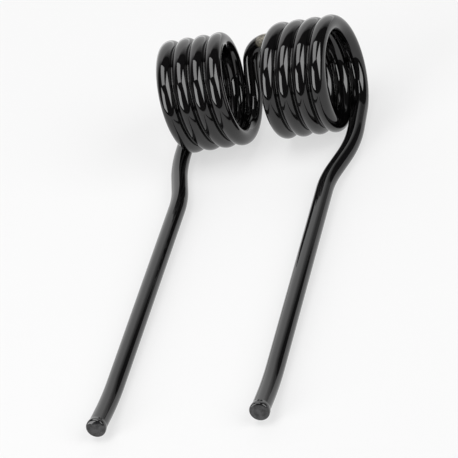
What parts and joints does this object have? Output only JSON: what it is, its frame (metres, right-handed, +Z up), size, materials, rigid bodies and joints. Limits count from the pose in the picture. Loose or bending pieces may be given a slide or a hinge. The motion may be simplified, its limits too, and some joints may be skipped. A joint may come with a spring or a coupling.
{
  "type": "baler pick-up tine",
  "caption": "Sprung double tine for a hay pick-up reel: mirrored close-wound coils joined by a bolt loop, with jogged prongs bent at the tip.",
  "frame": {"origin": "midway between the middles of the two coils", "axes": "+X from coil to coil through their middles, +Y away from the prongs, +Z up from the surface that the tine lies on; the prongs run to -Y"},
  "size_m": [0.0714, 0.1833, 0.0427],
  "materials": {
    "painted_spring_wire": "gloss black dip paint over drawn spring steel wire"
  },
  "bodies": {
    "root": {"spring_tine": "painted_spring_wire"}
  },
  "joints": []
}
